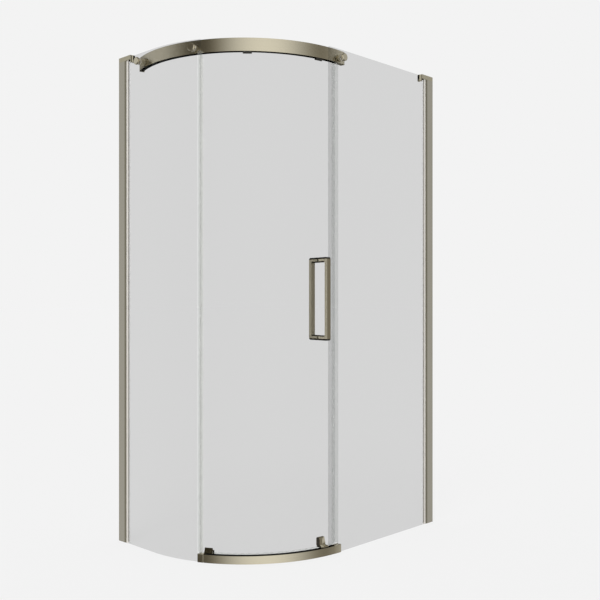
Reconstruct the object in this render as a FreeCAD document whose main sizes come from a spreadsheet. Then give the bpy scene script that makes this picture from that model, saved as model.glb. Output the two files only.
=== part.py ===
import FreeCAD, Part
import math
import os
import Sketcher

# Quadrant shower enclosure with one curved sliding door.
#
# Frame: millimetres, +Z up. The origin is the corner of the room at tray level.
# The back wall is the plane y = 0, the side wall is the plane x = 0, and the enclosure
# stands in the quarter where x and y are negative. The two fixed panes meet the walls
# square and bend towards each other on one arc, whose centre carries all curved pieces.
# Angles are seen from above, counted from +X towards +Y: the arc runs from 180 to 270.
# The door is modelled shut.

Vector = FreeCAD.Vector
Rotation = FreeCAD.Rotation
UP = Vector(0, 0, 1)

document = FreeCAD.newDocument("quadrant_enclosure")
sheet = document.addObject("Spreadsheet::Sheet", "Sizes")

SIZES = [
    # plan and glass
    ("left_line", "1179", "side wall to the outer face of the left glass"),
    ("front_line", "782.5", "back wall to the outer face of the right glass"),
    ("corner_radius", "538", "outer face of the curved glass"),
    ("glass_height", "2050", "top of the fixed glass above the tray"),
    ("glass_thick", "8", "fixed glass"),
    ("door_thick", "8", "door glass"),
    ("centre_x", "=corner_radius - left_line", "arc centre"),
    ("centre_y", "=corner_radius - front_line", "arc centre"),
    ("glass_in", "=corner_radius - glass_thick", "inner face of the curved fixed glass"),
    ("left_edge", "205.6", "free edge of the left fixed glass, degrees"),
    ("right_edge", "263.2", "free edge of the right fixed glass, degrees"),
    # wall channels: U sections with the glass channel nested inside
    ("profile_under", "12", "channels below the top of the glass"),
    ("profile_height", "=glass_height - profile_under", "both channels"),
    ("channel_depth", "43", "wall channel, from the wall"),
    ("channel_wall", "1.3", "wall channel"),
    ("slide_gap", "0.1", "between the nested channels"),
    ("clip_wall", "1.2", "glass channel"),
    ("clip_back", "14", "wall to the web of the glass channel"),
    ("clip_shows", "9", "glass channel in front of the wall channel"),
    ("clip_front", "=channel_depth + clip_shows", "wall to the mouth of the glass channel"),
    ("gasket_skin", "1.0", "gasket outside the glass"),
    ("gasket_wedge", "4.0", "gasket inside the glass"),
    ("gasket_lip", "1.6", "gasket lip on the inner face of the glass"),
    ("gasket_set", "10", "back of the gasket from the web"),
    ("gasket_floor", "6", "gasket behind the glass edge"),
    ("gasket_shows", "14", "gasket lips in front of the channel"),
    ("gasket_back", "=clip_back + gasket_set", "wall to the back of the gasket"),
    ("gasket_front", "=clip_front + gasket_shows", "wall to the edge of the gasket lips"),
    ("glass_wall_gap", "=gasket_back + gasket_floor", "wall to the glass edge"),
    ("face_out", "=channel_wall + slide_gap + clip_wall + gasket_skin", "channel face from glass face"),
    ("clip_out", "=clip_wall + gasket_skin", "glass channel face from glass face"),
    ("clip_in", "=glass_thick + gasket_wedge + clip_wall", "inner face of the glass channel"),
    ("face_in", "=clip_in + slide_gap + channel_wall", "inner face of the wall channel"),
    ("wall_hole", "6", "wall screw holes, diameter"),
    ("wall_hole_first", "150", "lowest wall hole above the tray"),
    ("wall_hole_last", "148", "highest wall hole below the channel's top"),
    ("wall_hole_pitch", "=(profile_height - wall_hole_first - wall_hole_last) / 3", "between them"),
    ("side_screw", "3.5", "screws through the nested channels, diameter"),
    ("side_screw_head", "7", "head diameter"),
    ("side_screw_crown", "2", "head height"),
    ("side_screw_edge", "1", "rim of the head"),
    ("side_screw_set", "10", "screws behind the mouth of the wall channel"),
    ("side_screw_from", "=channel_depth - side_screw_set", "wall to the screws"),
    ("side_screw_first", "250", "lowest of these screws"),
    ("side_screw_last", "248", "highest of them below the channel's top"),
    ("side_screw_pitch", "=(profile_height - side_screw_first - side_screw_last) / 2", "between them"),
    ("side_screw_reach", "1.5", "shank left in the gasket"),
    ("screw_fit", "0.05", "screws in their holes, radial"),
    # caps on the channels
    ("cap_height", "19", "cap"),
    ("cap_shows", "16.7", "broad part in front of the gasket"),
    ("cap_length", "=gasket_front + cap_shows", "broad part, from the wall"),
    ("cap_slot_gap", "0.3", "cap slot round the glass"),
    ("nose", "20", "round nose that grips the glass, diameter"),
    ("nose_past", "7.5", "middle of the nose in front of the broad part"),
    ("nose_middle", "=cap_length + nose_past", "middle of the nose, from the wall"),
    ("nose_drop", "14", "nose below the broad part"),
    ("nose_under", "5", "nose below the cap's top"),
    ("nose_bevel", "1", "lower edge of the nose"),
    # header rail
    ("rail_gap", "19", "outer glass face to the outer face of the header"),
    ("rail_depth", "20.7", "header, radially"),
    ("rail_over", "3", "header above the glass"),
    ("rail_height", "52", "header"),
    ("rail_wall", "2.5", "side walls of the header"),
    ("rail_roof", "3", "top of the header"),
    ("rail_skirt", "15", "below the tracks"),
    ("track_thick", "2.5", "tracks for the rollers"),
    ("rail_start", "162.1", "left end of the header, degrees"),
    ("rail_end", "270", "right end of the header, degrees"),
    ("rail_top", "=glass_height + rail_over", "top of the header"),
    ("rail_out", "=corner_radius - rail_gap", "outer face of the header"),
    ("rail_in", "=rail_out - rail_depth", "inner face of the header"),
    ("rail_low", "=rail_top - rail_height", "bottom of the header"),
    ("track_low", "=rail_low + rail_skirt", "underside of the tracks"),
    ("track_top", "=track_low + track_thick", "running face of the tracks"),
    ("mid", "=rail_out - rail_depth / 2", "middle of the header, the door and the rollers"),
    ("end_left_sweep", "0.6", "left header end, degrees"),
    ("end_left_drop", "5", "left header end below the header"),
    ("end_right_sweep", "5.7", "right header end, degrees"),
    ("end_round", "4", "rounded corner of the right header end"),
    ("stop_sweep", "0.55", "rubber stops, degrees"),
    ("stop_low", "1.5", "rubber stops above the header's underside"),
    # clamps
    ("clamp_up", "20", "axes of the clamps above the header's underside"),
    ("clamp_height", "=rail_low + clamp_up", "axes of the clamps"),
    ("clamp_back", "111.7", "left clamp behind the start of the arc"),
    ("clamp_edge", "3.93", "middle clamp from the free edge of the left glass, degrees"),
    ("clamp_middle", "=left_edge - clamp_edge", "middle clamp, degrees"),
    ("clamp_side", "17.7", "right clamp past the end of the arc"),
    ("clamp_cap", "31", "caps, diameter"),
    ("clamp_cap_thick", "10", "caps"),
    ("clamp_bevel", "2", "edge of the caps"),
    ("clamp_washer", "0.8", "washers"),
    ("clamp_spacer", "28", "spacers, diameter"),
    ("clamp_stud", "7.9", "studs, diameter"),
    ("clamp_fit", "0.05", "studs in their bores, radial"),
    ("clamp_bore", "=clamp_stud + 2 * clamp_fit", "bores for the studs"),
    ("clamp_glass_hole", "14", "holes in the glass"),
    ("clamp_bite", "1.2", "studs into the header wall"),
    ("tip_gap", "0.2", "bores past studs and screws"),
    ("left_face", "=sqrt(rail_out * rail_out - clamp_back * clamp_back)", "header at the left clamp"),
    ("right_face", "=sqrt(rail_out * rail_out - clamp_side * clamp_side)", "header at the right clamp"),
    ("clamp_cap_bite", "6", "studs into the caps"),
    ("curve_gap", "0.2", "flat faces off curved glass"),
    ("saddle_gap", "0.05", "spacer ends off the header"),
    ("cut_over", "2", "cuts start outside the piece by this"),
    # threshold rail
    ("sill_proud", "7", "outer face outside the glass"),
    ("sill_depth", "18.6", "threshold, radially"),
    ("sill_height", "32.5", "threshold"),
    ("sill_wall", "2.5", "side walls"),
    ("sill_base", "3", "base"),
    ("sill_lip", "1", "bevel on the outer lip"),
    ("sill_left", "1.85", "rail from the free edge of the left glass, degrees"),
    ("sill_right", "2.6", "rail past the free edge of the right glass, degrees"),
    ("sill_start", "=left_edge + sill_left", "left end of the rail, degrees"),
    ("sill_end", "=right_edge + sill_right", "right end of the rail, degrees"),
    ("sill_left_sweep", "2.7", "left end cap, degrees"),
    ("sill_right_sweep", "3.7", "right end cap, degrees"),
    ("sill_slot_gap", "0.3", "round the glass in the end caps"),
    ("sill_edge_gap", "0.25", "ends of the glass in the caps, degrees"),
    ("sill_out", "=corner_radius + sill_proud", "outer face of the threshold"),
    ("sill_in", "=sill_out - sill_depth", "inner face of the threshold"),
    ("cap_proud", "0.6", "end caps outside the rail"),
    ("sill_notch", "2.5", "bevel of the left end cap beside the rail"),
    ("liner_wall", "0.8", "groove liner, sides"),
    ("liner_base", "11", "groove liner, bottom"),
    ("liner_drop", "1", "groove liner below the rail's top"),
    ("liner_end", "0.3", "liner off the glass and the cap, degrees"),
    # door leaf
    ("lap_left", "1.4", "door behind the left fixed glass, degrees"),
    ("lap_right", "6.1", "door behind the right fixed glass, degrees"),
    ("door_left", "=left_edge - lap_left", "left edge of the door, degrees"),
    ("door_right", "=right_edge + lap_right", "right edge of the door, degrees"),
    ("door_low", "16", "bottom edge of the door glass"),
    ("door_into", "7", "door glass into the header"),
    ("door_high", "=rail_low + door_into", "top edge of the door glass"),
    ("door_out", "=mid + door_thick / 2", "outer face of the door"),
    ("door_in", "=mid - door_thick / 2", "inner face of the door"),
    # roller hangers
    ("hanger_from_left", "21.5", "left hanger from the door's left edge, degrees"),
    ("hanger_from_right", "9.3", "right hanger from the door's right edge, degrees"),
    ("hanger_left", "=door_left + hanger_from_left", "left hanger, degrees"),
    ("hanger_right", "=door_right - hanger_from_right", "right hanger, degrees"),
    ("hanger_sweep", "4", "saddle, degrees"),
    ("hanger_under", "6", "saddle below the header"),
    ("hanger_fit", "0.3", "saddle on the glass"),
    ("hanger_side", "0.85", "saddle and rollers off the header's walls"),
    ("hanger_over", "5.5", "saddle above the glass"),
    ("hanger_leg", "=rail_depth / 2 - rail_wall - hanger_side - door_thick / 2 - hanger_fit", "saddle legs"),
    ("hanger_low", "=rail_low - hanger_under", "bottom of the saddle"),
    ("hanger_top", "=door_high + hanger_over", "top of the saddle"),
    ("stem_thick", "4", "stem through the track slot"),
    ("stem_width", "24", "stem"),
    ("stem_over", "8", "stem above the axle"),
    ("stem_bevel", "6", "corners of the stem"),
    ("stem_root", "1", "stem into the saddle"),
    ("slot_side", "1", "stem off the tracks"),
    ("track_slot", "=stem_thick + 2 * slot_side", "slot between the tracks"),
    ("roller", "24", "rollers, diameter"),
    ("roller_off", "1", "rollers off the stem"),
    ("roller_thick", "=rail_depth / 2 - rail_wall - hanger_side - stem_thick / 2 - roller_off", "rollers"),
    ("roller_seat", "0.3", "rollers over the track"),
    ("axle", "5", "roller axles, diameter"),
    ("axle_fit", "0.05", "axle in the stem, radial"),
    ("press_fit", "0.01", "rollers on the axle, radial"),
    ("axle_past", "0.4", "axle past the rollers"),
    ("axle_height", "=track_top + roller_seat + roller / 2", "roller axles"),
    ("pin", "4", "hanger pins, diameter"),
    ("pin_spread", "1.2", "pins each side of the stem, degrees"),
    ("pin_up", "6.5", "pins above the saddle's underside"),
    ("pin_height", "=hanger_low + pin_up", "hanger pins"),
    ("pin_play", "0.5", "pins in the holes of the glass, radial"),
    ("pin_in", "0.6", "pins inside the saddle faces"),
    # door guide that travels in the threshold's groove
    ("guide_from_right", "8.93", "travelling guide from the door's right edge, degrees"),
    ("guide_at", "=door_right - guide_from_right", "travelling guide, degrees"),
    ("guide_width", "38", "block along the door"),
    ("guide_taper", "8", "block narrower at the top, on the right"),
    ("guide_face", "15", "front face of the block"),
    ("guide_turn", "8", "right part of the front set back by this"),
    ("guide_back_width", "22", "backing plate along the door"),
    ("guide_over", "1.5", "arm above the threshold"),
    ("guide_foot", "=sill_height + guide_over", "underside of the guide"),
    ("guide_tall", "38", "guide block"),
    ("guide_high", "=guide_foot + guide_tall", "top of the guide block"),
    ("guide_reach", "16.5", "block outside the door glass at the top"),
    ("guide_slope", "6", "slopes of the block"),
    ("guide_bite", "12", "guide screws outside the door glass"),
    ("guide_arm", "4.5", "arm thickness"),
    ("guide_round", "3", "upright edges of the block"),
    ("guide_plate", "5", "backing plate"),
    ("guide_seat", "0.35", "flat faces off the curved door glass"),
    ("guide_screw", "5", "guide screws, diameter"),
    ("guide_screw_up", "8", "lower guide screw above the guide's underside"),
    ("guide_screw_low", "=guide_foot + guide_screw_up", "lower guide screw"),
    ("guide_screw_pitch", "14", "between guide screws"),
    ("guide_play", "1", "guide screws in the holes of the glass, radial"),
    ("wheel_side", "0.5", "guide wheel off the groove's sides"),
    ("wheel", "=sill_depth - 2 * sill_wall - 2 * liner_wall - 2 * wheel_side", "guide wheel, diameter"),
    ("wheel_thick", "9", "guide wheel"),
    ("wheel_clear", "3", "guide wheel above the groove's floor"),
    ("wheel_low", "=sill_base + liner_base + wheel_clear", "guide wheel above the tray"),
    ("wheel_axle", "3", "axle, diameter"),
    ("wheel_fit", "0.05", "wheel on its axle, radial"),
    ("wheel_head", "1.2", "axle head under the wheel"),
    ("wheel_rest", "0.1", "head below the wheel"),
    ("groove_mid", "=(sill_in + sill_out) / 2", "middle of the groove"),
    # seals of the door
    ("seal_wall", "0.9", "seal clips"),
    ("seal_fit", "0.1", "clips on the glass"),
    ("seal_grip", "1.25", "clips along the glass, degrees"),
    ("seal_end", "0.05", "clips off the glass edge, degrees"),
    ("seal_web", "0.15", "clip web, degrees"),
    ("fin_gap", "0.6", "fins off the other glass"),
    ("fin", "0.12", "fins, degrees"),
    ("seal_over", "1.5", "upright seals above the threshold"),
    ("seal_low", "=sill_height + seal_over", "bottom of the upright seals"),
    ("seal_under", "2", "clips on the door below the header"),
    ("seal_high", "=rail_low - seal_under", "top of the clips on the door"),
    ("fin_over", "4", "fins in front of the header"),
    ("fin_high", "=rail_low + fin_over", "top of the fins in front of the header"),
    ("fin_rail_gap", "0.9", "that part of the fins off the header"),
    ("edge_clear", "2", "fixed seal's fin under the passing saddle"),
    ("edge_high", "=hanger_low - edge_clear", "top of that fin"),
    ("drip_leg", "16", "bottom seal up the glass"),
    ("drip_lip", "5", "bottom seal below the glass"),
    ("drip_thick", "1.2", "lip of the bottom seal"),
    ("drip_web", "1", "bottom seal under the glass edge"),
    # fixed guide at the threshold's left end
    ("shoe_set", "1.15", "fixed guide from the end of the rail, degrees"),
    ("shoe_at", "=sill_start + shoe_set", "fixed guide, degrees"),
    ("shoe_sweep", "3.6", "fixed guide, degrees"),
    ("shoe_clear", "1.5", "floor of the fork under the door's seal"),
    ("shoe_base", "6", "floor of the fork"),
    ("shoe_floor", "=door_low - drip_web - drip_lip - shoe_clear", "top of that floor"),
    ("shoe_foot", "=shoe_floor - shoe_base", "underside above the tray"),
    ("shoe_over", "18.5", "outer cheek above the threshold"),
    ("shoe_high", "=sill_height + shoe_over", "outer cheek"),
    ("shoe_under", "1.5", "shoulder below the threshold's top"),
    ("shoe_step", "=sill_height - shoe_under", "shoulder beside the rail"),
    ("shoe_inner", "38", "inner cheek"),
    ("shoe_cheek", "6", "cheek thickness"),
    ("shoe_gap", "1.5", "cheeks off the door glass"),
    ("shoe_slope", "8", "slopes at the top of the outer cheek"),
    ("shoe_lead", "1.5", "lead-in at the top of the cheeks"),
    ("shoe_seat", "0.15", "guide off the rail"),
    # handle
    ("handle_from_right", "9", "handle from the door's right edge, degrees"),
    ("handle_at", "=door_right - handle_from_right", "handle, degrees"),
    ("handle_mid", "1031", "middle of the handle"),
    ("handle_height", "334", "handle"),
    ("handle_depth", "56", "each half, from the glass"),
    ("handle_bar", "16", "bar, radially"),
    ("handle_arm", "20", "arms, vertically"),
    ("handle_width", "20", "bar and arms, along the door"),
    ("handle_round", "9", "outer corners"),
    ("handle_inner_round", "4", "inner corners"),
    ("handle_ease", "1.2", "bevels along the edges"),
    ("handle_washer", "1", "washers"),
    ("handle_washer_dia", "18", "washers, diameter"),
    ("handle_stud", "7.9", "studs, diameter"),
    ("handle_fit", "0.05", "studs in their bores, radial"),
    ("handle_bore", "=handle_stud + 2 * handle_fit", "bores for the studs"),
    ("handle_bite", "14", "studs into each arm"),
    ("handle_play", "2", "studs in the holes of the glass, radial"),
    ("handle_seat", "0.2", "washers off the curved glass"),
]

for row, (alias, amount, note) in enumerate(SIZES, start=1):
    sheet.set("A%d" % row, note)
    sheet.set("B%d" % row, amount)
    sheet.setAlias("B%d" % row, alias)
document.recompute()


# --------------------------------------------------------------------------- sizes and sketches

def factors(word):
    return word.split("*")


def value(text):
    """The number that a sum of sizes stands for, such as 'mid - 0.5*door_thick'."""
    total = 0.0
    sign = 1.0
    for word in text.split():
        if word in ("+", "-"):
            sign = 1.0 if word == "+" else -1.0
            continue
        product = sign
        for factor in factors(word):
            product *= sheet.get(factor) if factor[0].isalpha() else float(factor)
        total += product
    return total


def formula(text):
    """The same sum as an expression on the sheet."""
    words = []
    for word in text.split():
        if word in ("+", "-"):
            words.append(word)
            continue
        words.append("*".join("Sizes." + f if f[0].isalpha() else f for f in factors(word)))
    return "(" + " ".join(words) + ")"


def plane(body, role):
    return [f for f in body.Origin.OriginFeatures if f.Role == role][0]


def new_body(label, turn="0", lateral="0", height="0", at_centre=True):
    """A body on the arc's centre, turned so that its X axis points out at that angle."""
    body = document.addObject("PartDesign::Body", label)
    body.Label = label
    x0 = "centre_x" if at_centre else "0"
    y0 = "centre_y" if at_centre else "0"
    angle = math.radians(value(turn))
    base = Vector(value(x0) - value(lateral) * math.sin(angle),
                  value(y0) + value(lateral) * math.cos(angle), value(height))
    body.Placement = FreeCAD.Placement(base, Rotation(UP, value(turn)))
    turned = formula(turn) + " * 1 deg"
    body.setExpression("Placement.Base.x", "%s - %s * sin(%s)" % (formula(x0), formula(lateral), turned))
    body.setExpression("Placement.Base.y", "%s + %s * cos(%s)" % (formula(y0), formula(lateral), turned))
    body.setExpression("Placement.Base.z", formula(height))
    body.setExpression("Placement.Rotation.Angle", turned)
    return body


def new_sketch(body, role, offset=None, swing=None):
    """A sketch on a plane of the body, moved along its normal and swung about its Y axis."""
    sketch = body.newObject("Sketcher::SketchObject", body.Label + "_sketch")
    sketch.AttachmentSupport = [(plane(body, role), "")]
    sketch.MapMode = "FlatFace"
    if swing is not None:
        turn = Rotation(Vector(0, 1, 0), value(swing))
        out = turn.multVec(Vector(0, 0, value(offset)))
        sketch.AttachmentOffset = FreeCAD.Placement(out, turn)
        swung = formula(swing) + " * 1 deg"
        sketch.setExpression("AttachmentOffset.Base.x", "%s * sin(%s)" % (formula(offset), swung))
        sketch.setExpression("AttachmentOffset.Base.z", "%s * cos(%s)" % (formula(offset), swung))
        sketch.setExpression("AttachmentOffset.Rotation.Angle", swung)
    elif offset is not None:
        sketch.AttachmentOffset = FreeCAD.Placement(Vector(0, 0, value(offset)), Rotation())
        sketch.setExpression("AttachmentOffset.Base.z", formula(offset))
    return sketch


def pin_point(sketch, index, where, name, across, along):
    """Ties one point of the sketch to two expressions. Each of them is (number, text)."""
    for kind, key, (number, text) in (("DistanceX", "x", across), ("DistanceY", "y", along)):
        at = sketch.addConstraint(Sketcher.Constraint(kind, -1, 1, index, where, number))
        sketch.renameConstraint(at, name + key)
        sketch.setExpression("Constraints." + name + key, text)


def outline(sketch, points, polar=False):
    """A closed outline through points given as sums of sizes, or as (radius, degrees)."""
    corners = []
    for first, second in points:
        if polar:
            angle = math.radians(value(second))
            turned = formula(second) + " * 1 deg"
            x = (value(first) * math.cos(angle), "%s * cos(%s)" % (formula(first), turned))
            y = (value(first) * math.sin(angle), "%s * sin(%s)" % (formula(first), turned))
        else:
            x = (value(first), formula(first))
            y = (value(second), formula(second))
        corners.append((x, y))
    count = len(corners)
    for i in range(count):
        start, end = corners[i], corners[(i + 1) % count]
        sketch.addGeometry(Part.LineSegment(Vector(start[0][0], start[1][0], 0),
                                            Vector(end[0][0], end[1][0], 0)), False)
    for i in range(count):
        sketch.addConstraint(Sketcher.Constraint("Coincident", i, 2, (i + 1) % count, 1))
    for i, (x, y) in enumerate(corners):
        pin_point(sketch, i, 1, "p%d" % i, x, y)


def circle(sketch, across, along, diameter):
    radius = value(diameter) / 2
    centre = Vector(value(across), value(along), 0)
    index = sketch.addGeometry(Part.Circle(centre, UP, radius), False)
    pin_point(sketch, index, 3, "c%d" % index, (value(across), formula(across)),
              (value(along), formula(along)))
    at = sketch.addConstraint(Sketcher.Constraint("Diameter", index, value(diameter)))
    sketch.renameConstraint(at, "d%d" % index)
    sketch.setExpression("Constraints.d%d" % index, formula(diameter))


# --------------------------------------------------------------------------- features

def measured(body, feature, grows):
    """Makes sure that a feature adds or cuts as it should."""
    document.recompute()
    before = feature.BaseFeature.Shape.Volume if feature.BaseFeature else 0.0
    change = feature.Shape.Volume - before
    if (change > 0) != grows or abs(change) < 1e-3:
        raise RuntimeError("%s: feature %s changes nothing" % (body.Label, feature.Name))
    return feature


def pad(body, sketch, length, midplane=False, back=False):
    feature = body.newObject("PartDesign::Pad", body.Label + "_pad")
    feature.Profile = sketch
    feature.Midplane = midplane
    feature.Reversed = back
    feature.Length = value(length)
    feature.setExpression("Length", formula(length))
    return measured(body, feature, True)


def revolve(body, sketch, sweep, midplane=False, back=False, about="V_Axis"):
    feature = body.newObject("PartDesign::Revolution", body.Label + "_revolve")
    feature.Profile = sketch
    feature.ReferenceAxis = (sketch, [about])
    feature.Midplane = midplane
    feature.Reversed = back
    feature.Angle = value(sweep)
    feature.setExpression("Angle", formula(sweep) + " * 1 deg")
    return measured(body, feature, True)


def groove(body, sketch, sweep, back=False):
    feature = body.newObject("PartDesign::Groove", body.Label + "_groove")
    feature.Profile = sketch
    feature.ReferenceAxis = (sketch, ["V_Axis"])
    feature.Reversed = back
    feature.Angle = value(sweep)
    feature.setExpression("Angle", formula(sweep) + " * 1 deg")
    return measured(body, feature, False)


def pocket(body, sketch, depth=None, back=False):
    """Cuts the outline by a depth, or right through both ways."""
    feature = body.newObject("PartDesign::Pocket", body.Label + "_pocket")
    feature.Profile = sketch
    if depth is None:
        feature.Type = "ThroughAll"
        feature.Midplane = True
    else:
        feature.Length = value(depth)
        feature.setExpression("Length", formula(depth))
        feature.Reversed = back
    return measured(body, feature, False)


def rounded(body, size, chosen, bevel=False):
    """Rounds or bevels the edges of the body's tip that the test picks."""
    document.recompute()
    tip = body.Tip
    names = ["Edge%d" % (i + 1) for i, edge in enumerate(tip.Shape.Edges) if chosen(edge)]
    if not names:
        raise RuntimeError(body.Label + ": no edges to round")
    kind = "Chamfer" if bevel else "Fillet"
    feature = body.newObject("PartDesign::" + kind, body.Label + "_" + kind.lower())
    feature.Base = (tip, names)
    key = "Size" if bevel else "Radius"
    setattr(feature, key, value(size))
    feature.setExpression(key, formula(size))
    document.recompute()
    return feature


def box_points(a0, a1, b0, b1):
    return [(a0, b0), (a1, b0), (a1, b1), (a0, b1)]


def ring(label, start, sweep, points, back=False, midplane=False):
    """A piece bent on the arc: a section given as (radius, height), swept round the centre."""
    body = new_body(label, start)
    sketch = new_sketch(body, "XZ_Plane")
    outline(sketch, points)
    revolve(body, sketch, sweep, midplane=midplane, back=back)
    return body


def ring_cut(body, sweep, points, back=False):
    sketch = new_sketch(body, "XZ_Plane")
    outline(sketch, points)
    groove(body, sketch, sweep, back=back)


def bore(body, facing, lateral, height, diameter, outer=None, depth=None):
    """A round hole square to the direction 'facing', counted from the body's X axis."""
    sketch = new_sketch(body, "YZ_Plane", outer if outer else "0", facing)
    circle(sketch, lateral, height, diameter)
    pocket(body, sketch, depth)


def disc(label, turn, lateral, height, from_x, to_x, diameter, hole="0", bevel=None):
    """A round piece whose axis points out from the centre. The hole is given as a radius."""
    body = new_body(label, turn, lateral, height)
    sketch = new_sketch(body, "XY_Plane")
    inner = hole
    rim = "0.5*" + diameter
    if bevel:
        points = [(from_x, inner), (to_x, inner), (to_x, rim + " - " + bevel),
                  (to_x + " - " + bevel, rim), (from_x + " + " + bevel, rim),
                  (from_x, rim + " - " + bevel)]
    else:
        points = box_points(from_x, to_x, inner, rim)
    outline(sketch, points)
    revolve(body, sketch, "360", about="H_Axis")
    return body


def group(label, members):
    made = document.addObject("Part::Compound", label)
    made.Label = label
    made.Links = members
    return made


sub_parts = []


def keep(*bodies):
    sub_parts.extend(bodies)
    return bodies[0]


def upright(edge):
    """True for an edge along Z."""
    if len(edge.Vertexes) < 2:
        return False
    step = edge.Vertexes[-1].Point - edge.Vertexes[0].Point
    return abs(step.z) > 1e-6 and abs(step.x) < 1e-6 and abs(step.y) < 1e-6


# --------------------------------------------------------------------------- wall side

# Each side has a frame on its wall: X away from the wall along the glass, Y across the glass.
# inward tells which way along Y the inside of the enclosure lies.

def u_section(start, end, low, high, wall):
    """A U section open away from the wall, across the glass from low to high."""
    return [(start, low), (end, low), (end, low + " + " + wall),
            (start + " + " + wall, low + " + " + wall), (start + " + " + wall, high + " - " + wall),
            (end, high + " - " + wall), (end, high), (start, high)]


def negative(text):
    """The same sum with its sign turned."""
    terms = []
    sign = "+"
    for word in text.split():
        if word in ("+", "-"):
            sign = word
        else:
            terms.append(("-" if sign == "+" else "+", word))
            sign = "+"
    joined = " ".join("%s %s" % term for term in terms)
    return joined[2:] if joined[0] == "+" else joined


def flip(points, inward):
    """Mirrors an outline across the glass plane where the inside lies towards -Y."""
    return points if inward > 0 else [(along, negative(across)) for along, across in points]


def wall_body(label, side, height="0", away="0"):
    """A body on the wall line of one side, at the outer face of its glass."""
    body = document.addObject("PartDesign::Body", label)
    body.Label = label
    if side == "left":
        x0, y0, turn = "- left_line", "- " + away, "270"
    else:
        x0, y0, turn = "- " + away, "- front_line", "180"
    body.Placement = FreeCAD.Placement(Vector(value(x0), value(y0), value(height)),
                                       Rotation(UP, value(turn)))
    body.setExpression("Placement.Base.x", formula(x0))
    body.setExpression("Placement.Base.y", formula(y0))
    body.setExpression("Placement.Base.z", formula(height))
    return body


for side, inward in (("left", 1), ("right", -1)):
    middle = "0.5*face_in - 0.5*face_out"
    across = middle if inward > 0 else "0.5*face_out - 0.5*face_in"
    heights = ["side_screw_first + %d*side_screw_pitch" % i for i in range(3)]

    channel = wall_body(side + "_wall_channel", side)
    sketch = new_sketch(channel, "XY_Plane")
    outline(sketch, flip(u_section("0", "channel_depth", "- face_out", "face_in", "channel_wall"), inward))
    pad(channel, sketch, "profile_height")
    sketch = new_sketch(channel, "YZ_Plane", "channel_wall")
    for i in range(4):
        circle(sketch, across, "wall_hole_first + %d*wall_hole_pitch" % i, "wall_hole")
    pocket(channel, sketch, "channel_wall")

    clip = wall_body(side + "_glass_channel", side)
    sketch = new_sketch(clip, "XY_Plane")
    outline(sketch, flip(u_section("clip_back", "clip_front", "- clip_out", "clip_in", "clip_wall"), inward))
    pad(clip, sketch, "profile_height")

    gasket = wall_body(side + "_glazing_gasket", side)
    sketch = new_sketch(gasket, "XY_Plane")
    outline(sketch, flip([
        ("gasket_back", "- gasket_skin"), ("gasket_front", "- gasket_skin"), ("gasket_front", "0"),
        ("glass_wall_gap", "0"), ("glass_wall_gap", "glass_thick"), ("gasket_front", "glass_thick"),
        ("gasket_front", "glass_thick + gasket_lip"), ("clip_front", "glass_thick + gasket_lip"),
        ("clip_front", "glass_thick + gasket_wedge"), ("gasket_back", "glass_thick + gasket_wedge")],
        inward))
    pad(gasket, sketch, "profile_height")

    # screws from inside through both channels into the gasket's wedge
    screws = []
    for i, level in enumerate(heights):
        screw = wall_body("%s_side_screw_%d" % (side, i), side, level, "side_screw_from")
        tip = "clip_in - clip_wall - side_screw_reach"
        sketch = new_sketch(screw, "XY_Plane")
        outline(sketch, flip([
            ("0", tip), ("0.5*side_screw", tip), ("0.5*side_screw", "face_in"),
            ("0.5*side_screw_head", "face_in"), ("0.5*side_screw_head", "face_in + side_screw_edge"),
            ("0.25*side_screw_head", "face_in + side_screw_crown"),
            ("0", "face_in + side_screw_crown")], inward))
        revolve(screw, sketch, "360")
        screws.append(screw)
    for holed, start, depth in ((channel, "face_in", "channel_wall"), (clip, "clip_in", "clip_wall"),
                                (gasket, "glass_thick + gasket_wedge", "side_screw_reach")):
        # the plane XZ looks towards -Y, so its offset counts the other way
        sketch = new_sketch(holed, "XZ_Plane", negative(start) if inward > 0 else start)
        for level in heights:
            circle(sketch, "side_screw_from", level, "side_screw + 2*screw_fit")
        pocket(holed, sketch, depth, back=(inward > 0))

    cap = wall_body(side + "_channel_cap", side, "profile_height")
    sketch = new_sketch(cap, "XY_Plane")
    outline(sketch, flip(box_points("0", "cap_length", "- face_out", "face_in"), inward))
    pad(cap, sketch, "cap_height")
    # the round nose stands round the glass and reaches lower than the broad part
    sketch = new_sketch(cap, "XY_Plane", "- nose_drop")
    circle(sketch, "nose_middle", "0.5*glass_thick" if inward > 0 else "- 0.5*glass_thick", "nose")
    pad(cap, sketch, "nose_drop + cap_height - nose_under")
    nose_foot = - value("nose_drop")
    rounded(cap, "nose_bevel", lambda e: all(abs(v.Z - nose_foot) < 0.01 for v in e.Vertexes), bevel=True)
    sketch = new_sketch(cap, "XY_Plane", "- nose_drop - cut_over")
    outline(sketch, flip(box_points("glass_wall_gap - cap_slot_gap", "nose_middle + 0.5*nose + cut_over",
                                    "- cap_slot_gap", "glass_thick + cap_slot_gap"), inward))
    pocket(cap, sketch, "glass_height - profile_height + cap_slot_gap + nose_drop + cut_over", back=True)

    keep(channel, clip, gasket, cap, group(side + "_channel_screws", screws))

# --------------------------------------------------------------------------- fixed glass

glass_section = box_points("glass_in", "corner_radius", "0", "glass_height")

left_glass = new_body("left_fixed_glass", "180")
sketch = new_sketch(left_glass, "XZ_Plane")
outline(sketch, glass_section)
revolve(left_glass, sketch, "left_edge - 180")
sketch = new_sketch(left_glass, "XZ_Plane")
outline(sketch, glass_section)
pad(left_glass, sketch, "- centre_y - glass_wall_gap")
bore(left_glass, "0", "- clamp_back", "clamp_height", "clamp_glass_hole")
bore(left_glass, "clamp_middle - 180", "0", "clamp_height", "clamp_glass_hole")

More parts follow.
